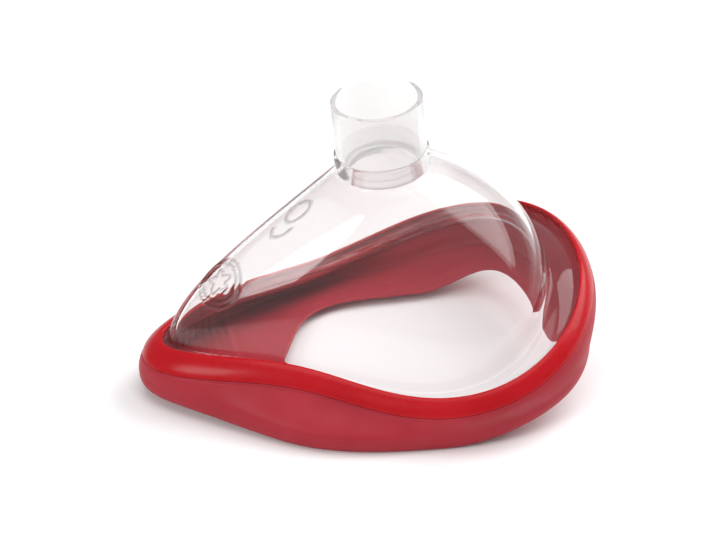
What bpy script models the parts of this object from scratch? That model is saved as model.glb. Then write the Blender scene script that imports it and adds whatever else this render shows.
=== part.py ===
"""Resuscitation face mask, adult size: the part of a bag valve mask that seals on the face.

Four moulded pieces: a clear dome with a flange and a collar, a 22 mm female port seated in the
collar, a firm band that grips the flange's edge, and a soft seal that rests on the face.

Lengths below are in millimetres and are scaled to metres when a mesh is made. X runs from the
nose end (-X) to the chin end (+X), Y is across the face and +Z is up, away from the face. The
mask stands on its seal at z = 0. The angle t runs round the mask: 0 at the nose, pi at the chin.

A loop is a short series in t, cosines for x and z and sines for y, which keeps it symmetric about
y = 0. A slope is a height with the distances from y = 0 where it starts and where it is whole.
"""

import math

import bmesh
import bpy
from mathutils import Vector

MM = 0.001
STEPS_ROUND = 96  # sections round the mask
GAP = 0.3  # between pieces that touch
SHARP_ANGLE = math.radians(40.0)
STEP_ASIDE = 0.001  # in t, for directions along a loop

# The rim: the line on the flange where the clear plastic meets the band.
RIM_X = (-4.2, -54.9, 5.3, -4.8)
RIM_Y = (38.0, -14.6, 5.9, -1.15)
RIM_Z = (20.7, -5.1, 4.8, -4.0, 0.7)

# The foot: the outer edge of the surface that rests on the face.
FOOT_X = (-4.4, -61.6, 4.65, -1.9, -1.55)
FOOT_Y = (45.2, -11.5, 3.5, -2.1, 0.75)
FOOT_NOSE_SLOPE = (2.5, 22.2, 59.7)
FOOT_CHIN_SLOPE = (12.5, 13.3, 67.0)

# The lip: the edge of the opening for the face.
LIP_X = (6.4, -38.2, 8.25, 0.6, -0.95)
LIP_Y = (27.5, -9.6, 1.05, -2.4, 1.65)
LIP_HEIGHT = 2.4
LIP_NOSE_SLOPE = (1.9, 7.8, 36.6)
LIP_CHIN_SLOPE = (12.0, 24.3, 58.9)

# The dome.
SHELL_WALL = 1.8
FLANGE_DROP = 1.0  # the flange's top surface lies this far below the rim line
FLANGE_REACH = 1.0  # how far the flange goes into the band
FLANGE_WIDTH = (3.65, -3.75, 1.75)  # from the rim in to the dome's wall, a cosine series
DOME_STEPS = 14
DOME_SPREAD = (1.04, -0.22, -0.07)  # fullness of the dome in plan, a cosine series
DOME_RISE = (1.75, 0.05)  # fullness of the dome in height, a cosine series

# The port: a 22 mm female connector, standing in the dome's collar.
PORT_MOUTH = (3.3, 0.0, 86.4)  # middle of the port's mouth
PORT_TILT = math.radians(5.4)  # towards the nose
PORT_RADIUS = 12.7
PORT_BORE_MOUTH = 11.2
PORT_BORE_DEEP = 10.95  # the socket's taper is 1 in 40 on the diameter
PORT_BORE_DEPTH = 19.8
PORT_NECK_RADIUS = 10.0
PORT_CHAMFER = 0.25
SPIGOT_RADIUS = 12.0
COLLAR_RADIUS = 13.3
COLLAR_TOP = 15.8  # below the port's mouth
COLLAR_BASE = 21.4
COLLAR_LEDGE_RADIUS = 10.4

# The band.
BAND_REACH = (4.6, 0.9, 0.5)  # how far it stands out past the rim, a cosine series
BAND_DROP = (4.6, 0.4, -0.1)  # its height below the rim, a cosine series
BAND_SHOULDER = (0.3, 0.12)  # shares of the reach and the drop that draw its rounded top
BAND_SKIRT = (0.9, -0.55)  # the same for the side
BAND_STEPS = 7

# The seal.
ROOT_WIDTH = 4.2  # thickness where it joins the band
SEAL_WALL = 1.6
LIP_WALL = 1.0
FOOT_ROUNDING = 1.1
BULGE_HEIGHT = 4.8
WALL_LEAN = 0.5  # outward slope of the wall as it leaves the band
WALL_PULLS = (0.4, 0.35)  # shares of the wall's height that hold its two ends' directions
CORNER_PULL = 0.6  # the same for the bulge, down towards the foot
MEMBRANE_PULLS = (0.35, 0.3)  # shares of the membrane's width, at the foot and at the lip
TAPER_ROWS = 5.4  # rows of the wall over which it thins
WALL_STEPS = 9
FOOT_STEPS = 4
MEMBRANE_STEPS = 7


def clear_scene():
    for item in list(bpy.data.objects):
        bpy.data.objects.remove(item, do_unlink=True)


def material(name, colour, roughness, alpha=1.0):
    made = bpy.data.materials.new(name)
    made.use_nodes = True
    shader = made.node_tree.nodes["Principled BSDF"]
    shader.inputs["Base Color"].default_value = (*colour, 1.0)
    shader.inputs["Roughness"].default_value = roughness
    shader.inputs["Metallic"].default_value = 0.0
    shader.inputs["Alpha"].default_value = alpha
    return made


def add_object(name, mesh_builder, look):
    """A closed mesh with its own material, smooth apart from its real edges."""
    for vertex in mesh_builder.verts:
        vertex.co *= MM
    bmesh.ops.recalc_face_normals(mesh_builder, faces=mesh_builder.faces)
    mesh = bpy.data.meshes.new(name)
    mesh_builder.to_mesh(mesh)
    mesh_builder.free()
    mesh.materials.append(look)
    mesh.shade_smooth()
    mesh.set_sharp_from_angle(angle=SHARP_ANGLE)
    made = bpy.data.objects.new(name, mesh)
    bpy.context.collection.objects.link(made)
    return made


def tube_from_rings(rings):
    """Closed solid whose section runs through the rings, from the last back to the first."""
    builder = bmesh.new()
    loops = [[builder.verts.new(point) for point in ring] for ring in rings]
    for near, far in zip(loops, loops[1:] + loops[:1]):
        for k in range(len(near)):
            after = (k + 1) % len(near)
            builder.faces.new((near[k], near[after], far[after], far[k]))
    return builder


def cosines(terms, t):
    return sum(term * math.cos(k * t) for k, term in enumerate(terms))


def sines(terms, t):
    return sum(term * math.sin((k + 1) * t) for k, term in enumerate(terms))


def ease(value, start, end):
    """0 before start, 1 after end, and smooth between."""
    share = min(max((value - start) / (end - start), 0.0), 1.0)
    return share * share * (3.0 - 2.0 * share)


def slope(distance, terms):
    height, start, end = terms
    return height * ease(distance, start, end)


def rim(t):
    return Vector((cosines(RIM_X, t), sines(RIM_Y, t), cosines(RIM_Z, t)))


def outward(t):
    """Horizontal direction straight out from the rim."""
    along = rim(t + STEP_ASIDE) - rim(t - STEP_ASIDE)
    return Vector((-along.y, along.x, 0.0)).normalized()


def rim_offset(t, out, up):
    """Point beside the rim: out from it in the plan and up from it."""
    return rim(t) + outward(t) * out + Vector((0.0, 0.0, up))


def foot(t):
    x = cosines(FOOT_X, t)
    lift = slope(-x, FOOT_NOSE_SLOPE) + slope(x, FOOT_CHIN_SLOPE)
    return Vector((x, sines(FOOT_Y, t), lift))


def lip(t):
    x = cosines(LIP_X, t)
    lift = slope(-x, LIP_NOSE_SLOPE) + slope(x, LIP_CHIN_SLOPE)
    return Vector((x, sines(LIP_Y, t), LIP_HEIGHT + lift))


def bezier(a, b, c, d, share):
    rest = 1.0 - share
    return (
        a * rest**3
        + b * (3.0 * rest**2 * share)
        + c * (3.0 * rest * share**2)
        + d * share**3
    )


def round_angles():
    return [2.0 * math.pi * k / STEPS_ROUND for k in range(STEPS_ROUND)]


def ring_of(point_at):
    return [point_at(t) for t in round_angles()]


def surface_normals(rings):
    """Unit normals of a sheet whose rings run downward, on its outer side."""
    count = len(rings[0])
    sheets = []
    for row, ring in enumerate(rings):
        before = rings[max(row - 1, 0)]
        after = rings[min(row + 1, len(rings) - 1)]
        normals = []
        for k in range(count):
            across = ring[(k + 1) % count] - ring[k - 1]
            down = after[k] - before[k]
            normals.append(across.cross(down).normalized())
        sheets.append(normals)
    return sheets


# ---- the port's own axes ----

PORT_AXIS = Vector((-math.sin(PORT_TILT), 0.0, math.cos(PORT_TILT)))
PORT_SIDE = Vector((math.cos(PORT_TILT), 0.0, math.sin(PORT_TILT)))


def port_ring(radius, below_mouth):
    """Circle about the port's axis, whose points go round as t does."""
    middle = Vector(PORT_MOUTH) - PORT_AXIS * below_mouth
    return ring_of(
        lambda t: middle
        - PORT_SIDE * radius * math.cos(t)
        + Vector((0.0, radius * math.sin(t), 0.0))
    )


def port_connector():
    section = (
        (PORT_BORE_MOUTH + PORT_CHAMFER, 0.0),
        (PORT_RADIUS - PORT_CHAMFER, 0.0),
        (PORT_RADIUS, PORT_CHAMFER),
        (PORT_RADIUS, COLLAR_TOP - GAP),
        (SPIGOT_RADIUS, COLLAR_TOP - GAP),
        (SPIGOT_RADIUS, COLLAR_BASE - GAP),
        (PORT_NECK_RADIUS, COLLAR_BASE - GAP),
        (PORT_NECK_RADIUS, PORT_BORE_DEPTH),
        (PORT_BORE_DEEP, PORT_BORE_DEPTH),
        (PORT_BORE_MOUTH, PORT_CHAMFER),
    )
    rings = [port_ring(radius, depth) for radius, depth in section]
    look = material("frosted_clear", (0.93, 0.93, 0.92), 0.28, alpha=0.55)
    return add_object("port_connector", tube_from_rings(rings), look)


# ---- the dome ----


def dome_sheet():
    """Rings of the dome's outer surface, from the collar down to the flange."""
    top = port_ring(COLLAR_RADIUS, COLLAR_BASE)
    rings = [top]
    for step in range(1, DOME_STEPS + 1):
        angle = 0.5 * math.pi * (1.0 - step / DOME_STEPS)
        ring = []
        for k, t in enumerate(round_angles()):
            base = rim_offset(t, -cosines(FLANGE_WIDTH, t), -FLANGE_DROP)
            spread = math.cos(angle) ** (2.0 / cosines(DOME_SPREAD, t))
            rise = math.sin(angle) ** (2.0 / cosines(DOME_RISE, t))
            point = top[k].lerp(base, spread)
            point.z = base.z + (top[k].z - base.z) * rise
            ring.append(point)
        rings.append(ring)
    return rings


def dome_shell():
    outer = dome_sheet()
    normals = surface_normals(outer)
    inner = [
        [point - normal * SHELL_WALL for point, normal in zip(ring, facing)]
        for ring, facing in zip(outer, normals)
    ]
    underside = -FLANGE_DROP - SHELL_WALL
    rings = [
        port_ring(COLLAR_LEDGE_RADIUS, COLLAR_BASE + SHELL_WALL),
        port_ring(COLLAR_LEDGE_RADIUS, COLLAR_BASE),
        port_ring(SPIGOT_RADIUS + GAP, COLLAR_BASE),
        port_ring(SPIGOT_RADIUS + GAP, COLLAR_TOP),
        port_ring(COLLAR_RADIUS, COLLAR_TOP),
    ]
    rings.extend(outer)
    rings.append(ring_of(lambda t: rim_offset(t, FLANGE_REACH, -FLANGE_DROP)))
    rings.append(ring_of(lambda t: rim_offset(t, FLANGE_REACH, underside)))
    rings.append(
        ring_of(
            lambda t: rim_offset(t, -cosines(FLANGE_WIDTH, t) - SHELL_WALL, underside)
        )
    )
    rings.extend(reversed(inner[1:-1]))
    look = material("clear_rigid_plastic", (0.92, 0.93, 0.93), 0.06, alpha=0.25)
    return add_object("dome_shell", tube_from_rings(rings), look)


# ---- the band ----


def band_section(t):
    """The band's outline at t, as distances out from the rim and up from it."""
    reach = cosines(BAND_REACH, t)
    drop = cosines(BAND_DROP, t)
    groove_top = -FLANGE_DROP + GAP
    groove_base = -FLANGE_DROP - SHELL_WALL - GAP
    groove_end = FLANGE_REACH + GAP
    corners = (
        Vector((0.0, 0.0)),
        Vector((reach * BAND_SHOULDER[0], drop * BAND_SHOULDER[1])),
        Vector((reach * BAND_SKIRT[0], drop * BAND_SKIRT[1])),
        Vector((reach, -drop)),
    )
    section = [bezier(*corners, step / BAND_STEPS) for step in range(BAND_STEPS + 1)]
    section.append((reach - ROOT_WIDTH, -drop))
    section.append((reach - ROOT_WIDTH, groove_base))
    section.append((groove_end, groove_base))
    section.append((groove_end, groove_top))
    section.append((0.0, groove_top))
    return section


def cushion_rim():
    sections = []
    for t in round_angles():
        sections.append([rim_offset(t, out, up) for out, up in band_section(t)])
    rings = [list(ring) for ring in zip(*sections)]
    look = material("glossy_red_elastomer", (0.50, 0.012, 0.016), 0.22)
    return add_object("cushion_rim", tube_from_rings(rings), look)


# ---- the seal ----


def seal_root(t, inward):
    """Top of the seal at t, where it joins the band."""
    return rim_offset(t, cosines(BAND_REACH, t) - inward, -cosines(BAND_DROP, t) - GAP)


def seal_section(t):
    """Outer line of the seal at t, from the band down to the foot and in to the lip."""
    root = seal_root(t, 0.0)
    side = outward(t)
    bulge = foot(t) + side * FOOT_ROUNDING + Vector((0.0, 0.0, BULGE_HEIGHT))
    contact = foot(t) - side * FOOT_ROUNDING
    edge = lip(t)
    drop = root.z - bulge.z
    down = Vector((0.0, 0.0, -1.0))
    lean = root + (side * WALL_LEAN + down) * drop * WALL_PULLS[0]
    swell = bulge - down * drop * WALL_PULLS[1]
    corner = bulge + down * BULGE_HEIGHT * CORNER_PULL
    inward = edge - contact
    level = contact + Vector((inward.x, inward.y, 0.0)) * MEMBRANE_PULLS[0]
    rise = edge - inward * MEMBRANE_PULLS[1]
    line = []
    for step in range(WALL_STEPS):
        line.append(bezier(root, lean, swell, bulge, step / WALL_STEPS))
    for step in range(FOOT_STEPS):
        tread = contact + side * FOOT_ROUNDING
        line.append(bezier(bulge, corner, tread, contact, step / FOOT_STEPS))
    for step in range(MEMBRANE_STEPS):
        line.append(bezier(contact, level, rise, edge, step / (MEMBRANE_STEPS - 1)))
    return line


def cushion_seal():
    sections = [seal_section(t) for t in round_angles()]
    outer = [list(ring) for ring in zip(*sections)]
    normals = surface_normals(outer)
    last = len(outer) - 1
    inner = []
    for row, (ring, facing) in enumerate(zip(outer, normals)):
        wall = ROOT_WIDTH + (SEAL_WALL - ROOT_WIDTH) * ease(row, 0.0, TAPER_ROWS)
        if row == last:
            wall = LIP_WALL
        inner.append([point - normal * wall for point, normal in zip(ring, facing)])
    inner[0] = ring_of(lambda t: seal_root(t, ROOT_WIDTH))
    look = material("matt_red_elastomer", (0.40, 0.035, 0.04), 0.42)
    return add_object("cushion_seal", tube_from_rings(outer + inner[::-1]), look)


clear_scene()
dome_shell()
port_connector()
cushion_rim()
cushion_seal()
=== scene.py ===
"""The looks of a resuscitation face mask: a clear dome with a 22 mm port, a band and a soft seal.

Lengths are in millimetres and become metres when a mesh is made. X runs from the nose end (-X) to
the chin end (+X), Y is across the face and +Z is up, away from the face. The angle t runs round the
mask: 0 at the nose, pi at the chin. The driving dimensions are those of the CAD model.

Every piece is a closed sheet of rows. A row is an array of points, one for each angle round the
mask, and neighbouring rows are joined by faces.
"""

import math

import bpy
import numpy as np
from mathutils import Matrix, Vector


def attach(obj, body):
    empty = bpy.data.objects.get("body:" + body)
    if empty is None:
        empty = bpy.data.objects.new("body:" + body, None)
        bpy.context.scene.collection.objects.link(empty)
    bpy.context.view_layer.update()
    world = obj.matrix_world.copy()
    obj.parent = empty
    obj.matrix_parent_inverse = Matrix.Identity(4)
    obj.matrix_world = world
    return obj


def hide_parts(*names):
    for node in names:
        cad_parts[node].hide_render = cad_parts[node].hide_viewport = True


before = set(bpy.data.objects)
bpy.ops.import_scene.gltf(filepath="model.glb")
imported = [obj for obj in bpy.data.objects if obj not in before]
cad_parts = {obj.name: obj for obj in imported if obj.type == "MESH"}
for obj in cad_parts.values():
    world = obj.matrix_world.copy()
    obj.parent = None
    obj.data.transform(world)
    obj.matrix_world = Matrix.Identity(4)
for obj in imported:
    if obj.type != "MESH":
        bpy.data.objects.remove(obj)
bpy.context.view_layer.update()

MM = 0.001
STEP_ASIDE = 0.001  # in t, for directions along a loop

# ---- driving dimensions, the same as in the CAD model ----

RIM_X = (-4.2, -54.9, 5.3, -4.8)
RIM_Y = (38.0, -14.6, 5.9, -1.15)
RIM_Z = (20.7, -5.1, 4.8, -4.0, 0.7)

FOOT_X = (-4.4, -61.6, 4.65, -1.9, -1.55)
FOOT_Y = (45.2, -11.5, 3.5, -2.1, 0.75)
FOOT_NOSE_SLOPE = (2.5, 22.2, 59.7)
FOOT_CHIN_SLOPE = (12.5, 13.3, 67.0)

LIP_X = (6.4, -38.2, 8.25, 0.6, -0.95)
LIP_Y = (27.5, -9.6, 1.05, -2.4, 1.65)
LIP_HEIGHT = 2.4
LIP_NOSE_SLOPE = (1.9, 7.8, 36.6)
LIP_CHIN_SLOPE = (12.0, 24.3, 58.9)

SHELL_WALL = 1.8
FLANGE_DROP = 1.0
FLANGE_REACH = 1.0
FLANGE_WIDTH = (3.65, -3.75, 1.75)
DOME_SPREAD = (1.04, -0.22, -0.07)
DOME_RISE = (1.75, 0.05)

PORT_MOUTH = (3.3, 0.0, 86.4)
PORT_TILT = math.radians(5.4)
PORT_RADIUS = 12.7
PORT_BORE_MOUTH = 11.2
PORT_BORE_DEEP = 10.95
PORT_BORE_DEPTH = 19.8
PORT_NECK_RADIUS = 10.0
SPIGOT_RADIUS = 12.0
COLLAR_RADIUS = 13.3
COLLAR_TOP = 15.8
COLLAR_BASE = 21.4
COLLAR_LEDGE_RADIUS = 10.4

BAND_REACH = (4.6, 0.9, 0.5)
BAND_DROP = (4.6, 0.4, -0.1)
BAND_SHOULDER = (0.3, 0.12)
BAND_SKIRT = (0.9, -0.55)

ROOT_WIDTH = 4.2
SEAL_WALL = 1.6
LIP_WALL = 1.0
FOOT_ROUNDING = 1.1
BULGE_HEIGHT = 4.8
WALL_LEAN = 0.5
WALL_PULLS = (0.4, 0.35)
CORNER_PULL = 0.6
MEMBRANE_PULLS = (0.35, 0.3)

# ---- dimensions of the finer detail ----

GAP = 0.1  # between pieces that touch
SKIN = 0.06  # the red pieces lie this far inside the CAD model's facets
STEPS_ROUND = 480
SEAL_STEPS_ROUND = 620
PORT_STEPS_ROUND = 256
NOSE_FOCUS = 0.5  # how much closer the steps are at the nose than on average
CHIN_ZONE = (0.62, 0.82)  # in t from the chin: the seal's steps are closer up to the first, then fade
CHIN_DENSITY = 4.5  # how many times as close they are
FINE_ANGLES = 4001  # for adding up the density of the steps

DOME_ROWS = 128
DOME_INNER_ROWS = 44
DOME_TOP_ANGLE = 0.5 * math.pi
DOME_START = 0.06  # angle left free for the fillet at the collar
DOME_INNER_START = 0.1  # angle that the inner surface leaves free at its top and at its base
DOME_STEP_ASIDE = 0.002  # in t and in the dome's angle, for its normals
WALL_FILLET = 1.6  # where the dome's wall meets its flange
WALL_FILLET_STEPS = 8
WALL_FOOT = (0.5, 0.2, 0.8)  # inner corner at the flange: its width, its first and its second rise
COLLAR_FILLET = 0.7
COLLAR_FILLET_STEPS = 6
COLLAR_LEVEL = (62.5, 65.0)  # heights between which the dome's plastic turns milky
COLLAR_EDGES = (0.1, 0.2, 0.3)  # small, middling and large rounding of the collar's edges

PORT_EDGE_ROUNDING = 0.3
PORT_STEP_ROUNDING = 0.25
PORT_BORE_ROUNDING = 0.4
PORT_EDGE_STEPS = 5

BAND_FOCUS = 0.3  # how much closer the band's steps are at the nose than on average
BAND_CROWN_STEPS = 44
BAND_CROWN_START = 3  # the first of those steps are replaced by the round top edge
BAND_TOP_EDGE = ((0.0, -0.4), (0.03, -0.2), (0.11, -0.05))  # out and up from the rim
BAND_GROOVE_EDGE = 0.15
BAND_BASE_EDGE = (0.02, 0.12, 0.1)  # steps in of the lower edge, and its rise

MARK_HEIGHT = 0.5
MARK_LINE = 0.3  # half the width of a raised line
MARK_SLOPE = 0.3  # width of a raised line's side
MARK_DEPTH = 8.0  # a mark lies on the surface this near to its own level
MEDALLION_PLACE = (-42.0, -4.0)
MEDALLION_RINGS = (7.0, 5.5)
MEDALLION_ROSETTE = (2.9, 0.9)  # mean radius, and how far the petals stand in and out
MEDALLION_PETALS = 5
SIZE_MARK_PLACE = (-18.8, -1.25)
SIZE_MARK_OVAL = (4.3, 2.9)
SIZE_MARK_ARC = (-5.4, -1.6)  # middle of the arc beside the oval
SIZE_MARK_FADE = 0.8  # width over which the arc fades out at its ends

RIB_PITCH = 2.25
RIB_HEIGHT = 1.3
RIB_COUNT = 8
RIB_LAST = -36.9  # x of the ridge farthest from the nose
RIB_SHARPNESS = 1.5
RIB_FADE = (0.4, 0.7, 1.1)  # width of the rise at the nose, then start and end of the fall
PLEAT_COUNT = 400
PLEAT_HEIGHT = 0.16
PLEAT_PLACE = 0.36  # middle of the pleats, from the chin
PLEAT_SPREAD = (0.16, 0.3)  # half the width of their zone, where it begins to fade and where it ends
PLEAT_RISE = (0.4, 0.65)  # shares of the way to the lip between which they rise
SHOULDER = 0.14  # how far the seal's top edge stands out past the band
SHOULDER_PROFILE = ((0.25, 0.0), (0.05, 0.02))  # inward and below, before the edge stands out
SHOULDER_TURN = 0.8  # share of its reach above and below its widest place
SHOULDER_LEVELS = (0.12, 0.3, 0.5)

SEAL_WALL_STEPS = 32
SEAL_FOOT_STEPS = 12
SEAL_MEMBRANE_STEPS = 32
SEAL_SKIPPED_ROWS = 3  # rows of the outer wall that the shoulder replaces
ROOT_SHARE = 0.6  # share of the wall over which the root thins
LIP_THINNING_ROWS = 10
DETAIL_START = 0.3  # share of the wall where the ribs and pleats may begin
DETAIL_RISE = (0.0, 0.12)
DETAIL_FALL = (0.85, 0.97)
LIP_TURNS = (0.25, 0.5, 0.75)  # shares of the half circle at the lip's edge


# ---- curves ----


def cosines(terms, t):
    return sum(term * np.cos(k * t) for k, term in enumerate(terms))


def sines(terms, t):
    return sum(term * np.sin((k + 1) * t) for k, term in enumerate(terms))


def ease(value, start, end):
    """0 before start, 1 after end, and smooth between."""
    share = np.clip((value - start) / (end - start), 0.0, 1.0)
    return share * share * (3.0 - 2.0 * share)


def points(x, y, z):
    return np.stack(np.broadcast_arrays(x, y, z), axis=-1).astype(float)


def unit(vectors):
    return vectors / np.linalg.norm(vectors, axis=-1, keepdims=True)


def column(values):
    """Numbers, one for each angle, ready to scale a row of points."""
    return np.asarray(values, float)[..., None]


def slope(distance, terms):
    height, start, end = terms
    return height * ease(distance, start, end)


def rim(t):
    return points(cosines(RIM_X, t), sines(RIM_Y, t), cosines(RIM_Z, t))


def outward(t):
    """Horizontal direction straight out from the rim."""
    along = rim(t + STEP_ASIDE) - rim(t - STEP_ASIDE)
    return unit(points(-along[..., 1], along[..., 0], 0.0))


def rim_offset(t, out, up):
    """Row beside the rim: out from it in the plan and up from it."""
    return rim(t) + outward(t) * column(out) + points(0.0, 0.0, up)


def foot(t):
    x = cosines(FOOT_X, t)
    lift = slope(-x, FOOT_NOSE_SLOPE) + slope(x, FOOT_CHIN_SLOPE)
    return points(x, sines(FOOT_Y, t), lift)


def lip(t):
    x = cosines(LIP_X, t)
    lift = slope(-x, LIP_NOSE_SLOPE) + slope(x, LIP_CHIN_SLOPE)
    return points(x, sines(LIP_Y, t), LIP_HEIGHT + lift)


def angles(count, focus=0.0):
    """Angles round the mask, closer together at the nose when focus is above 0."""
    even = np.arange(count) * (2.0 * math.pi / count)
    return even - focus * np.sin(even)


def denser_at_chin(count):
    """Angles round the mask, closer together near the chin."""
    fine = np.linspace(0.0, 2.0 * math.pi, FINE_ANGLES)
    near = 1.0 - ease(np.abs(fine - math.pi), *CHIN_ZONE)
    density = 1.0 + (CHIN_DENSITY - 1.0) * near
    passed = np.concatenate([[0.0], np.cumsum(0.5 * (density[1:] + density[:-1]))])
    return np.interp(np.arange(count) / count * passed[-1], passed, fine)


PORT_AXIS = np.array((-math.sin(PORT_TILT), 0.0, math.cos(PORT_TILT)))
PORT_SIDE = np.array((math.cos(PORT_TILT), 0.0, math.sin(PORT_TILT)))


def port_ring(t, radius, below_mouth):
    """Circle about the port's axis, whose points go round as t does."""
    middle = np.array(PORT_MOUTH) - PORT_AXIS * below_mouth
    return middle - PORT_SIDE * column(radius * np.cos(t)) + points(0.0, radius * np.sin(t), 0.0)


# ---- rows into meshes ----


def bezier(controls, share):
    """Row at that share of the curve through the first and last of its control rows."""
    while len(controls) > 1:
        controls = [a + (b - a) * share for a, b in zip(controls, controls[1:])]
    return controls[0]


def rounded(corners, radii, steps):
    """Rows of a closed section, with the corner at each row rounded by its radius."""
    rows = []
    for k, (corner, radius) in enumerate(zip(corners, radii)):
        if radius == 0.0:
            rows.append(corner)
            continue
        before = corners[k - 1] - corner
        after = corners[(k + 1) % len(corners)] - corner
        enter = corner + unit(before) * radius
        leave = corner + unit(after) * radius
        for step in range(steps + 1):
            rows.append(bezier([enter, corner, leave], step / steps))
    return rows


def row_normals(rows):
    """Unit normals of a sheet whose rows run downward, on its outer side."""
    grid = np.stack(rows)
    across = np.roll(grid, -1, axis=1) - np.roll(grid, 1, axis=1)
    down = np.empty_like(grid)
    down[1:-1] = grid[2:] - grid[:-2]
    down[0] = grid[1] - grid[0]
    down[-1] = grid[-1] - grid[-2]
    return unit(np.cross(across, down))


def closed_mesh(name, rows, material):
    """Closed piece whose section runs through the rows, from the last back to the first."""
    grid = np.stack(rows) * MM
    row_count, count = grid.shape[:2]
    row, step = np.meshgrid(np.arange(row_count), np.arange(count), indexing="ij")
    next_row = (row + 1) % row_count
    next_step = (step + 1) % count
    faces = np.stack(
        [
            row * count + step,
            next_row * count + step,
            next_row * count + next_step,
            row * count + next_step,
        ],
        axis=-1,
    ).reshape(-1, 4)
    mesh = bpy.data.meshes.new(name)
    mesh.from_pydata(grid.reshape(-1, 3).tolist(), [], faces[:, ::-1].tolist())
    mesh.materials.append(material)
    mesh.shade_smooth()
    piece = bpy.data.objects.new(name, mesh)
    bpy.context.scene.collection.objects.link(piece)
    return piece


# ---- materials ----

NOISE_RANGE = (0.3, 0.7)  # where nearly all values of a noise lie
RAISED_LINE_SHADE = 0.4  # how dark the raised lines are painted: painted shade in place of the dark lines that refraction draws
COLLAR_HAZE = 0.2
COAT_IOR = 1.5
COAT_ROUGHNESS = 0.06
PLASTIC_WAVES = (0.0006, 0.12)  # depth of the bump in metres, and its strength
PLASTIC_GRAIN = (0.00003, 0.15)
RUBBER_SPECULAR = 0.14
RUBBER_COAT_ROUGHNESS = 0.12
RUBBER_WAVES = (0.0004, 0.15)
RUBBER_GRAIN_STRENGTH = 0.3
SUBSURFACE_WEIGHT = 0.15
SUBSURFACE_RADIUS = (1.0, 0.12, 0.08)
SUBSURFACE_SCALE = 0.002
CLEAR_RIGID = {
    # The tint is partly the plastic's own faint colour; its darkening and pink cast are painted shade
    # and a painted reflection of the red seal.
    "tint": (0.897, 0.882, 0.878),
    "rough": (0.015, 0.07),
    "ior": 1.08,
    "coat": 0.5,
    "haze": 0.012,
    "shadow": (0.965, 0.955, 0.96),
}
MILKY = {
    "tint": (0.903, 0.891, 0.885),
    "rough": (0.08, 0.16),
    "ior": 1.14,
    "coat": 0.25,
    "haze": 0.22,
    "shadow": (0.88, 0.88, 0.87),
}
GLOSSY_RED = {
    "deep": (0.39, 0.005, 0.009),
    "bright": (0.44, 0.007, 0.012),
    "rough": (0.22, 0.34),
    "grain_depth": 0.00002,
    "coat": 0.05,
}
SATIN_RED = {
    "deep": (0.33, 0.021, 0.033),
    "bright": (0.385, 0.027, 0.041),
    "rough": (0.38, 0.52),
    "grain_depth": 0.00005,
    "coat": 0.0,
}


def node(tree, kind, **settings):
    """New node, with its properties and the values of its sockets set by name."""
    made = tree.nodes.new(kind)
    for key, value in settings.items():
        if hasattr(made, key):
            setattr(made, key, value)
        else:
            made.inputs[key.replace("_", " ").title()].default_value = value
    return made


def new_material(name):
    """Material with a lone Principled shader, its tree, the shader and the object's coordinates."""
    material = bpy.data.materials.new(name)
    material.use_nodes = True
    tree = material.node_tree
    shader = tree.nodes["Principled BSDF"]
    place = tree.nodes.new("ShaderNodeTexCoord").outputs["Object"]
    return material, tree, shader, place


def noise(tree, place, scale, detail=3.0, stretch=None):
    """Noise of that many features to the metre. Stretch scales its axes."""
    if stretch:
        mapping = node(tree, "ShaderNodeMapping", scale=stretch)
        tree.links.new(place, mapping.inputs["Vector"])
        place = mapping.outputs["Vector"]
    made = node(tree, "ShaderNodeTexNoise", scale=scale, detail=detail)
    tree.links.new(place, made.inputs["Vector"])
    return made.outputs["Fac"]


def ranged(tree, value, low, high):
    """The value, spread from its usual range to the range from low to high."""
    made = tree.nodes.new("ShaderNodeMapRange")
    made.inputs["From Min"].default_value = NOISE_RANGE[0]
    made.inputs["From Max"].default_value = NOISE_RANGE[1]
    made.inputs["To Min"].default_value = low
    made.inputs["To Max"].default_value = high
    tree.links.new(value, made.inputs["Value"])
    return made.outputs["Result"]


def bumped(tree, shader, heights):
    """Gives the shader a bump for each (height, depth in metres, strength)."""
    normal = None
    for height, depth, strength in heights:
        bump = tree.nodes.new("ShaderNodeBump")
        bump.inputs["Distance"].default_value = depth
        bump.inputs["Strength"].default_value = strength
        tree.links.new(height, bump.inputs["Height"])
        if normal:
            tree.links.new(normal, bump.inputs["Normal"])
        normal = bump.outputs["Normal"]
    tree.links.new(normal, shader.inputs["Normal"])


def blended(tree, share, low, high):
    """Colour between low and high by that share."""
    mix = tree.nodes.new("ShaderNodeMix")
    mix.data_type = "RGBA"
    mix.inputs["A"].default_value = (*low, 1.0)
    mix.inputs["B"].default_value = (*high, 1.0)
    tree.links.new(share, mix.inputs["Factor"])
    return mix.outputs["Result"]


def let_light_through(tree, shader, tint):
    """Shadow and diffuse rays go straight through, as light does through a thin clear wall."""
    output = tree.nodes["Material Output"]
    path = tree.nodes.new("ShaderNodeLightPath")
    either = tree.nodes.new("ShaderNodeMath")
    either.operation = "MAXIMUM"
    tree.links.new(path.outputs["Is Shadow Ray"], either.inputs[0])
    tree.links.new(path.outputs["Is Diffuse Ray"], either.inputs[1])
    clear = tree.nodes.new("ShaderNodeBsdfTransparent")
    clear.inputs["Color"].default_value = (*tint, 1.0)
    mix = tree.nodes.new("ShaderNodeMixShader")
    tree.links.new(either.outputs["Value"], mix.inputs["Fac"])
    tree.links.new(shader.outputs["BSDF"], mix.inputs[1])
    tree.links.new(clear.outputs["BSDF"], mix.inputs[2])
    tree.links.new(mix.outputs["Shader"], output.inputs["Surface"])


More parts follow.
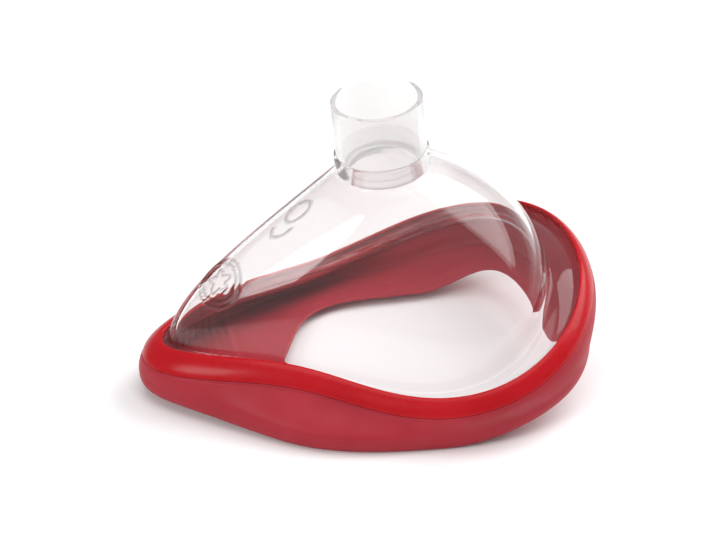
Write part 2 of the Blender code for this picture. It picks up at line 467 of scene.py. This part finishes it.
def clear_plastic(name, tint, rough, ior, coat, haze, shadow):
    """Moulded clear plastic: faint waves from the mould, fine scuffs and a little haze.

    Haze is the share of light that scatters on the walls.
    """
    material, tree, shader, place = new_material(name)
    shader.inputs["Base Color"].default_value = (*tint, 1.0)
    shader.inputs["Transmission Weight"].default_value = 1.0 - haze
    shader.inputs["IOR"].default_value = ior
    shader.inputs["Coat Weight"].default_value = coat
    shader.inputs["Coat IOR"].default_value = COAT_IOR
    shader.inputs["Coat Roughness"].default_value = COAT_ROUGHNESS
    scuffs = noise(tree, place, scale=420.0, detail=5.0, stretch=(1.0, 2.5, 1.0))
    tree.links.new(ranged(tree, scuffs, *rough), shader.inputs["Roughness"])
    waves = noise(tree, place, scale=45.0, detail=1.0)
    grain = noise(tree, place, scale=1500.0, detail=2.0)
    bumped(tree, shader, [(waves, *PLASTIC_WAVES), (grain, *PLASTIC_GRAIN)])
    let_light_through(tree, shader, shadow)
    return material


def dome_plastic():
    """Clear plastic that turns milky at the collar, with its raised lines painted darker as painted
    shade.
    """
    tint = CLEAR_RIGID["tint"]
    material = clear_plastic("clear_rigid_plastic", **CLEAR_RIGID)
    tree = material.node_tree
    shader = tree.nodes["Principled BSDF"]
    parts = node(tree, "ShaderNodeSeparateXYZ")
    tree.links.new(tree.nodes["Texture Coordinate"].outputs["Object"], parts.inputs["Vector"])
    clearness = node(tree, "ShaderNodeMapRange")
    clearness.inputs["From Min"].default_value = COLLAR_LEVEL[0] * MM
    clearness.inputs["From Max"].default_value = COLLAR_LEVEL[1] * MM
    clearness.inputs["To Min"].default_value = 1.0 - CLEAR_RIGID["haze"]
    clearness.inputs["To Max"].default_value = 1.0 - COLLAR_HAZE
    tree.links.new(parts.outputs["Z"], clearness.inputs["Value"])
    tree.links.new(clearness.outputs["Result"], shader.inputs["Transmission Weight"])
    relief = node(tree, "ShaderNodeAttribute", attribute_name="relief")
    # Painted shade: the base colour darkens on the raised lines, following their relief.
    line_shade = tuple(RAISED_LINE_SHADE * part for part in tint)
    tree.links.new(blended(tree, relief.outputs["Fac"], tint, line_shade), shader.inputs["Base Color"])
    return material


def elastomer(name, deep, bright, rough, grain_depth, coat):
    """Red elastomer: its colour varies a little, with a fine moulded grain and faint flow waves."""
    material, tree, shader, place = new_material(name)
    cloud = noise(tree, place, scale=60.0, detail=4.0)
    colour = blended(tree, ranged(tree, cloud, 0.0, 1.0), deep, bright)
    tree.links.new(colour, shader.inputs["Base Color"])
    smear = noise(tree, place, scale=180.0, detail=5.0, stretch=(1.0, 1.0, 2.2))
    tree.links.new(ranged(tree, smear, *rough), shader.inputs["Roughness"])
    shader.inputs["Specular IOR Level"].default_value = RUBBER_SPECULAR
    shader.inputs["Coat Weight"].default_value = coat
    shader.inputs["Coat Roughness"].default_value = RUBBER_COAT_ROUGHNESS
    shader.inputs["Subsurface Weight"].default_value = SUBSURFACE_WEIGHT
    shader.inputs["Subsurface Radius"].default_value = SUBSURFACE_RADIUS
    shader.inputs["Subsurface Scale"].default_value = SUBSURFACE_SCALE
    grain = noise(tree, place, scale=2600.0, detail=3.0)
    waves = noise(tree, place, scale=90.0, detail=2.0)
    bumped(tree, shader, [(waves, *RUBBER_WAVES), (grain, grain_depth, RUBBER_GRAIN_STRENGTH)])
    return material


# ---- the dome ----


def dome_point(t, angle):
    """Row of the dome's outer surface: angle 0 is at the flange and pi / 2 at the collar."""
    top = port_ring(t, COLLAR_RADIUS, COLLAR_BASE)
    base = rim_offset(t, -cosines(FLANGE_WIDTH, t), -FLANGE_DROP)
    spread = np.cos(angle) ** (2.0 / cosines(DOME_SPREAD, t))
    rise = np.sin(angle) ** (2.0 / cosines(DOME_RISE, t))
    row = top + (base - top) * column(spread)
    row[..., 2] = base[..., 2] + (top[..., 2] - base[..., 2]) * rise
    return row


def raised_line(distance):
    """Height of a raised line at that distance from its middle."""
    return MARK_HEIGHT * (1.0 - ease(np.abs(distance), MARK_LINE, MARK_LINE + MARK_SLOPE))


def marks(rows, normals):
    """Heights of the raised marks: a plain medallion, and an oval with a short arc beside it."""
    grid = np.stack(rows)
    heights = np.zeros(grid.shape[:2])
    for place, kind in ((MEDALLION_PLACE, "medallion"), (SIZE_MARK_PLACE, "oval")):
        in_plan = np.hypot(grid[..., 0] - place[0], grid[..., 1] - place[1])
        middle = np.unravel_index(np.argmin(in_plan), in_plan.shape)
        facing = normals[middle]
        across = unit(np.cross(facing, (1.0, 0.0, 0.0)))
        along = np.cross(across, facing)
        offset = grid - grid[middle]
        u = offset @ along
        v = offset @ across
        near = np.abs(offset @ facing) < MARK_DEPTH
        if kind == "medallion":
            radius = np.hypot(u, v)
            turn = np.arctan2(v, u)
            mean, swing = MEDALLION_ROSETTE
            petals = mean + swing * np.cos(MEDALLION_PETALS * turn)
            lines = [raised_line(radius - ring) for ring in (*MEDALLION_RINGS, petals)]
        else:
            long_radius, short_radius = SIZE_MARK_OVAL
            oval = np.hypot(u / long_radius, v / short_radius)
            lines = [raised_line((oval - 1.0) * short_radius)]
            arc_u = u - SIZE_MARK_ARC[0]
            arc_v = v - SIZE_MARK_ARC[1]
            arc = np.hypot(arc_u / long_radius, arc_v / short_radius)
            lower = ease(-arc_u - arc_v, 0.0, SIZE_MARK_FADE)
            lines.append(raised_line((arc - 1.0) * short_radius) * lower)
        heights = np.maximum(heights, np.max(lines, axis=0) * near)
    return heights


def clear_dome():
    t = angles(STEPS_ROUND, NOSE_FOCUS)
    # The wall stops a fillet's radius above the flange.
    height = port_ring(t, COLLAR_RADIUS, COLLAR_BASE)[:, 2] - rim(t)[:, 2] + FLANGE_DROP
    lowest = np.arcsin((WALL_FILLET / height) ** (0.5 * cosines(DOME_RISE, t)))
    first = DOME_TOP_ANGLE - DOME_START
    outer = []
    for step in range(DOME_ROWS + 1):
        share = step / DOME_ROWS
        outer.append(dome_point(t, first + (lowest - first) * share))
    normals = row_normals(outer)
    heights = marks(outer, normals)
    outer = list(np.stack(outer) + normals * heights[..., None])
    # Fillet from the collar's side to the dome.
    collar_foot = port_ring(t, COLLAR_RADIUS, COLLAR_BASE)
    collar_side = port_ring(t, COLLAR_RADIUS, COLLAR_BASE - COLLAR_FILLET)
    collar_curve = [collar_side, collar_foot, outer[0]]
    collar_fillet = [bezier(collar_curve, k / COLLAR_FILLET_STEPS) for k in range(COLLAR_FILLET_STEPS)]
    # Fillet from the wall to the flange.
    flange_width = cosines(FLANGE_WIDTH, t)
    corner = rim_offset(t, -flange_width, -FLANGE_DROP)
    fillet_width = np.minimum(WALL_FILLET, flange_width)
    flange_start = rim_offset(t, -flange_width + fillet_width, -FLANGE_DROP)
    wall_curve = [outer[-1], corner, flange_start]
    wall_fillet = [bezier(wall_curve, (k + 1) / WALL_FILLET_STEPS) for k in range(WALL_FILLET_STEPS)]
    # The inner surface follows the outer one at the wall's thickness.
    inner = []
    first = DOME_TOP_ANGLE - DOME_INNER_START
    for step in range(1, DOME_INNER_ROWS):
        share = step / DOME_INNER_ROWS
        angle = first + (DOME_INNER_START - first) * share
        across = dome_point(t + DOME_STEP_ASIDE, angle) - dome_point(t - DOME_STEP_ASIDE, angle)
        down = dome_point(t, angle - DOME_STEP_ASIDE) - dome_point(t, angle + DOME_STEP_ASIDE)
        inner.append(dome_point(t, angle) - unit(np.cross(across, down)) * SHELL_WALL)
    underside = -FLANGE_DROP - SHELL_WALL
    small, middling, large = COLLAR_EDGES
    rows = [
        port_ring(t, COLLAR_LEDGE_RADIUS, COLLAR_BASE + SHELL_WALL),
        port_ring(t, COLLAR_LEDGE_RADIUS, COLLAR_BASE + large),
        port_ring(t, COLLAR_LEDGE_RADIUS + large, COLLAR_BASE),
        port_ring(t, SPIGOT_RADIUS + GAP, COLLAR_BASE),
        port_ring(t, SPIGOT_RADIUS + GAP, COLLAR_TOP + middling),
        port_ring(t, SPIGOT_RADIUS + GAP + middling, COLLAR_TOP),
        port_ring(t, COLLAR_RADIUS - large, COLLAR_TOP),
        port_ring(t, COLLAR_RADIUS - small, COLLAR_TOP + small),
        port_ring(t, COLLAR_RADIUS, COLLAR_TOP + large),
    ]
    rows += collar_fillet
    before = len(rows)
    foot_width, first_rise, second_rise = WALL_FOOT
    rows += outer + wall_fillet
    rows.append(rim_offset(t, FLANGE_REACH, -FLANGE_DROP))
    rows.append(rim_offset(t, FLANGE_REACH, underside))
    rows.append(rim_offset(t, -flange_width, underside))
    rows.append(rim_offset(t, -flange_width - SHELL_WALL + foot_width, underside + first_rise))
    rows.append(rim_offset(t, -flange_width - SHELL_WALL, underside + second_rise))
    rows += inner[::-1]
    piece = closed_mesh("clear_dome", rows, dome_plastic())
    # The raised lines are painted darker: painted shade.
    relief = np.zeros((len(rows), STEPS_ROUND))
    relief[before : before + len(outer)] = heights / MARK_HEIGHT
    attribute = piece.data.attributes.new("relief", "FLOAT", "POINT")
    attribute.data.foreach_set("value", relief.ravel())
    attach(piece, "root")
    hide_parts("dome_shell")


# ---- the port ----


def milky_port():
    t = angles(PORT_STEPS_ROUND)
    section = (
        (PORT_BORE_MOUTH, 0.0, PORT_EDGE_ROUNDING),
        (PORT_RADIUS, 0.0, PORT_EDGE_ROUNDING),
        (PORT_RADIUS, COLLAR_TOP - GAP, PORT_STEP_ROUNDING),
        (SPIGOT_RADIUS, COLLAR_TOP - GAP, 0.0),
        (SPIGOT_RADIUS, COLLAR_BASE - GAP, PORT_EDGE_ROUNDING),
        (PORT_NECK_RADIUS, COLLAR_BASE - GAP, PORT_EDGE_ROUNDING),
        (PORT_NECK_RADIUS, PORT_BORE_DEPTH, PORT_BORE_ROUNDING),
        (PORT_BORE_DEEP, PORT_BORE_DEPTH, PORT_BORE_ROUNDING),
    )
    corners = [port_ring(t, radius, depth) for radius, depth, _ in section]
    rows = rounded(corners, [rounding for _, _, rounding in section], PORT_EDGE_STEPS)
    piece = closed_mesh("milky_port", rows, clear_plastic("milky_plastic", **MILKY))
    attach(piece, "root")
    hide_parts("port_connector")


# ---- the band ----


def glossy_band():
    t = angles(STEPS_ROUND, BAND_FOCUS)
    reach = cosines(BAND_REACH, t) - SKIN
    drop = cosines(BAND_DROP, t)
    groove_top = -FLANGE_DROP + GAP
    groove_base = -FLANGE_DROP - SHELL_WALL - GAP
    rows = [
        rim_offset(t, BAND_GROOVE_EDGE, groove_top),
        rim_offset(t, 0.0, groove_top + BAND_GROOVE_EDGE),
    ]
    rows += [rim_offset(t, out, up) for out, up in BAND_TOP_EDGE]
    profile = [
        rim_offset(t, 0.0, 0.0),
        rim_offset(t, reach * BAND_SHOULDER[0], drop * BAND_SHOULDER[1]),
        rim_offset(t, reach * BAND_SKIRT[0], drop * BAND_SKIRT[1]),
        rim_offset(t, reach, -drop),
    ]
    crown = range(BAND_CROWN_START, BAND_CROWN_STEPS)
    rows += [bezier(profile, step / BAND_CROWN_STEPS) for step in crown]
    first_step, second_step, rise = BAND_BASE_EDGE
    rows += [
        rim_offset(t, reach - first_step, rise - drop),
        rim_offset(t, reach - second_step, -drop),
        rim_offset(t, reach - ROOT_WIDTH, -drop),
        rim_offset(t, reach - ROOT_WIDTH, groove_base),
        rim_offset(t, FLANGE_REACH + GAP, groove_base),
        rim_offset(t, FLANGE_REACH + GAP, groove_top),
    ]
    piece = closed_mesh("glossy_band", rows, elastomer("glossy_red_elastomer", **GLOSSY_RED))
    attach(piece, "root")
    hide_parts("cushion_rim")


# ---- the seal ----


def ribs(row):
    """Heights of the ridges across the nose, on the seal's inner face."""
    x = row[:, 0]
    ridge = np.cos((x - RIB_LAST) / RIB_PITCH * 2.0 * math.pi) * 0.5 + 0.5
    first = RIB_LAST - RIB_PITCH * (RIB_COUNT - 0.5)
    rise, fall_start, fall_end = RIB_FADE
    fall = 1.0 - ease(x, RIB_LAST + fall_start, RIB_LAST + fall_end)
    return RIB_HEIGHT * ridge**RIB_SHARPNESS * ease(x, first, first + rise) * fall


def pleats(t, share):
    """Heights of the fine radial pleats at the corners of the chin."""
    turned = np.abs(np.abs(t - math.pi) - PLEAT_PLACE)
    inside = (1.0 - ease(turned, *PLEAT_SPREAD)) * ease(share, *PLEAT_RISE)
    return PLEAT_HEIGHT * np.cos(t * PLEAT_COUNT) * inside


def seal_root(t, inward, below):
    """Row beside the top of the seal, where it joins the band."""
    reach = cosines(BAND_REACH, t) - SKIN
    return rim_offset(t, reach - inward, -cosines(BAND_DROP, t) - GAP - below)


def soft_seal():
    t = denser_at_chin(SEAL_STEPS_ROUND)
    side = outward(t)
    down = points(0.0, 0.0, -1.0)
    root = seal_root(t, 0.0, 0.0)
    bulge = foot(t) + side * (FOOT_ROUNDING - SKIN) + points(0.0, 0.0, BULGE_HEIGHT)
    contact = foot(t) - side * FOOT_ROUNDING
    edge = lip(t)
    drop = column(root[:, 2] - bulge[:, 2])
    lean = root + (side * WALL_LEAN + down) * drop * WALL_PULLS[0]
    wall_curve = [root, lean, bulge - down * drop * WALL_PULLS[1], bulge]
    corner = bulge + down * BULGE_HEIGHT * CORNER_PULL
    foot_curve = [bulge, corner, contact + side * FOOT_ROUNDING, contact]
    inward = edge - contact
    level = contact + inward * points(MEMBRANE_PULLS[0], MEMBRANE_PULLS[0], 0.0)
    membrane_curve = [contact, level, edge - inward * MEMBRANE_PULLS[1], edge]
    outer = [bezier(wall_curve, k / SEAL_WALL_STEPS) for k in range(SEAL_WALL_STEPS)]
    outer += [bezier(foot_curve, k / SEAL_FOOT_STEPS) for k in range(SEAL_FOOT_STEPS)]
    membrane_rows = range(SEAL_MEMBRANE_STEPS + 1)
    outer += [bezier(membrane_curve, k / SEAL_MEMBRANE_STEPS) for k in membrane_rows]
    normals = row_normals(outer)
    inner = []
    last = len(outer) - 1
    detail_start = SEAL_WALL_STEPS * DETAIL_START
    for k, (row, facing) in enumerate(zip(outer, normals)):
        wall = ROOT_WIDTH + (SEAL_WALL - ROOT_WIDTH) * ease(k, 0.0, SEAL_WALL_STEPS * ROOT_SHARE)
        wall = wall + (LIP_WALL - wall) * ease(k, last - LIP_THINNING_ROWS, last)
        inner_row = row - facing * wall
        share = (k - detail_start) / (last - detail_start)
        if 0.0 < share < 1.0:
            fade = float(ease(share, *DETAIL_RISE) * (1.0 - ease(share, *DETAIL_FALL)))
            height = (ribs(inner_row) + pleats(t, share)) * fade
            inner_row = inner_row - facing * column(height)
        inner.append(inner_row)
    inner[0] = seal_root(t, ROOT_WIDTH, 0.0)
    # The top edge is a small round shoulder.
    upper, widest, lower = SHOULDER_LEVELS
    shoulder = [seal_root(t, inside, below) for inside, below in SHOULDER_PROFILE]
    shoulder += [
        seal_root(t, -SHOULDER_TURN * SHOULDER, upper),
        seal_root(t, -SHOULDER, widest),
        seal_root(t, -SHOULDER_TURN * SHOULDER, lower),
    ]
    # The lip's edge is round.
    lip_middle = (outer[-1] + inner[-1]) * 0.5
    lip_out = unit(outer[-1] - outer[-2])
    toward = unit(outer[-1] - inner[-1])
    half = column(np.linalg.norm(outer[-1] - inner[-1], axis=-1)) * 0.5
    rounding = []
    for turn in LIP_TURNS:
        lean = math.pi * (0.5 - turn)
        rounding.append(lip_middle + (toward * math.sin(lean) + lip_out * math.cos(lean)) * half)
    rows = shoulder + outer[SEAL_SKIPPED_ROWS:] + rounding + inner[::-1]
    piece = closed_mesh("soft_seal", rows, elastomer("satin_red_elastomer", **SATIN_RED))
    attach(piece, "root")
    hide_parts("cushion_seal")


# ---- floor, lights and camera ----

FLOOR_SIZE = 6000.0
FLOOR_GAP = 0.1  # the floor lies this far below the mask
FLOOR_COLOUR = (0.90, 0.895, 0.89, 1.0)
FLOOR_ROUGHNESS = (0.7, 0.85)
FLOOR_SPECULAR = 0.2
SKY_COLOUR = (0.95, 0.97, 1.0, 1.0)
SKY_STRENGTH = 0.42
CAMERA_AZIMUTH = math.radians(-13.0)
CAMERA_ELEVATION = math.radians(32.43)
CAMERA_DISTANCE = 576.0
CAMERA_AIM = (-0.48, 3.31, 28.68)
CAMERA_LENS = 100.41
CAMERA_SENSOR = 36.0

SOFTBOXES = (
    {
        "name": "key",
        "place": (840.0, 180.0, 780.0),
        "aim": (0.0, 0.0, 0.0),
        "size": (900.0, 900.0),
        "power": 12.0,
    },
    {
        "name": "front",
        "place": (-900.0, -500.0, 640.0),
        "aim": (0.0, 0.0, 40.0),
        "size": (520.0, 420.0),
        "power": 5.5,
    },
    {
        "name": "top",
        "place": (0.0, -150.0, 1300.0),
        "aim": (0.0, 0.0, 0.0),
        "size": (900.0, 900.0),
        "power": 7.0,
    },
)


def pale_floor():
    half = 0.5 * FLOOR_SIZE * MM
    low = -FLOOR_GAP * MM
    mesh = bpy.data.meshes.new("floor")
    corners = [(-half, -half, low), (half, -half, low), (half, half, low), (-half, half, low)]
    mesh.from_pydata(corners, [], [(0, 1, 2, 3)])
    material, tree, shader, place = new_material("pale_floor")
    shader.inputs["Base Color"].default_value = FLOOR_COLOUR
    paper = noise(tree, place, scale=700.0, detail=4.0)
    tree.links.new(ranged(tree, paper, *FLOOR_ROUGHNESS), shader.inputs["Roughness"])
    shader.inputs["Specular IOR Level"].default_value = FLOOR_SPECULAR
    mesh.materials.append(material)
    floor = bpy.data.objects.new("floor", mesh)
    bpy.context.scene.collection.objects.link(floor)


def softbox(name, place, aim, size, power):
    lamp = bpy.data.lights.new(name, "AREA")
    lamp.shape = "RECTANGLE"
    lamp.size = size[0] * MM
    lamp.size_y = size[1] * MM
    lamp.energy = power
    made = bpy.data.objects.new(name, lamp)
    made.location = Vector(place) * MM
    made.rotation_euler = (Vector(place) - Vector(aim)).to_track_quat("Z", "Y").to_euler()
    bpy.context.scene.collection.objects.link(made)


def studio():
    world = bpy.data.worlds.new("studio")
    world.use_nodes = True
    background = world.node_tree.nodes["Background"]
    background.inputs["Color"].default_value = SKY_COLOUR
    background.inputs["Strength"].default_value = SKY_STRENGTH
    bpy.context.scene.world = world
    for settings in SOFTBOXES:
        softbox(**settings)


def camera():
    data = bpy.data.cameras.new("camera")
    data.lens = CAMERA_LENS
    data.sensor_width = CAMERA_SENSOR
    made = bpy.data.objects.new("camera", data)
    back = Vector(
        (
            math.sin(CAMERA_AZIMUTH) * math.cos(CAMERA_ELEVATION),
            -math.cos(CAMERA_AZIMUTH) * math.cos(CAMERA_ELEVATION),
            math.sin(CAMERA_ELEVATION),
        )
    )
    made.location = (Vector(CAMERA_AIM) + back * CAMERA_DISTANCE) * MM
    made.rotation_euler = back.to_track_quat("Z", "Y").to_euler()
    bpy.context.scene.collection.objects.link(made)
    bpy.context.scene.camera = made


clear_dome()
milky_port()
glossy_band()
soft_seal()
pale_floor()
studio()
camera()
bpy.context.scene.view_settings.view_transform = "Standard"
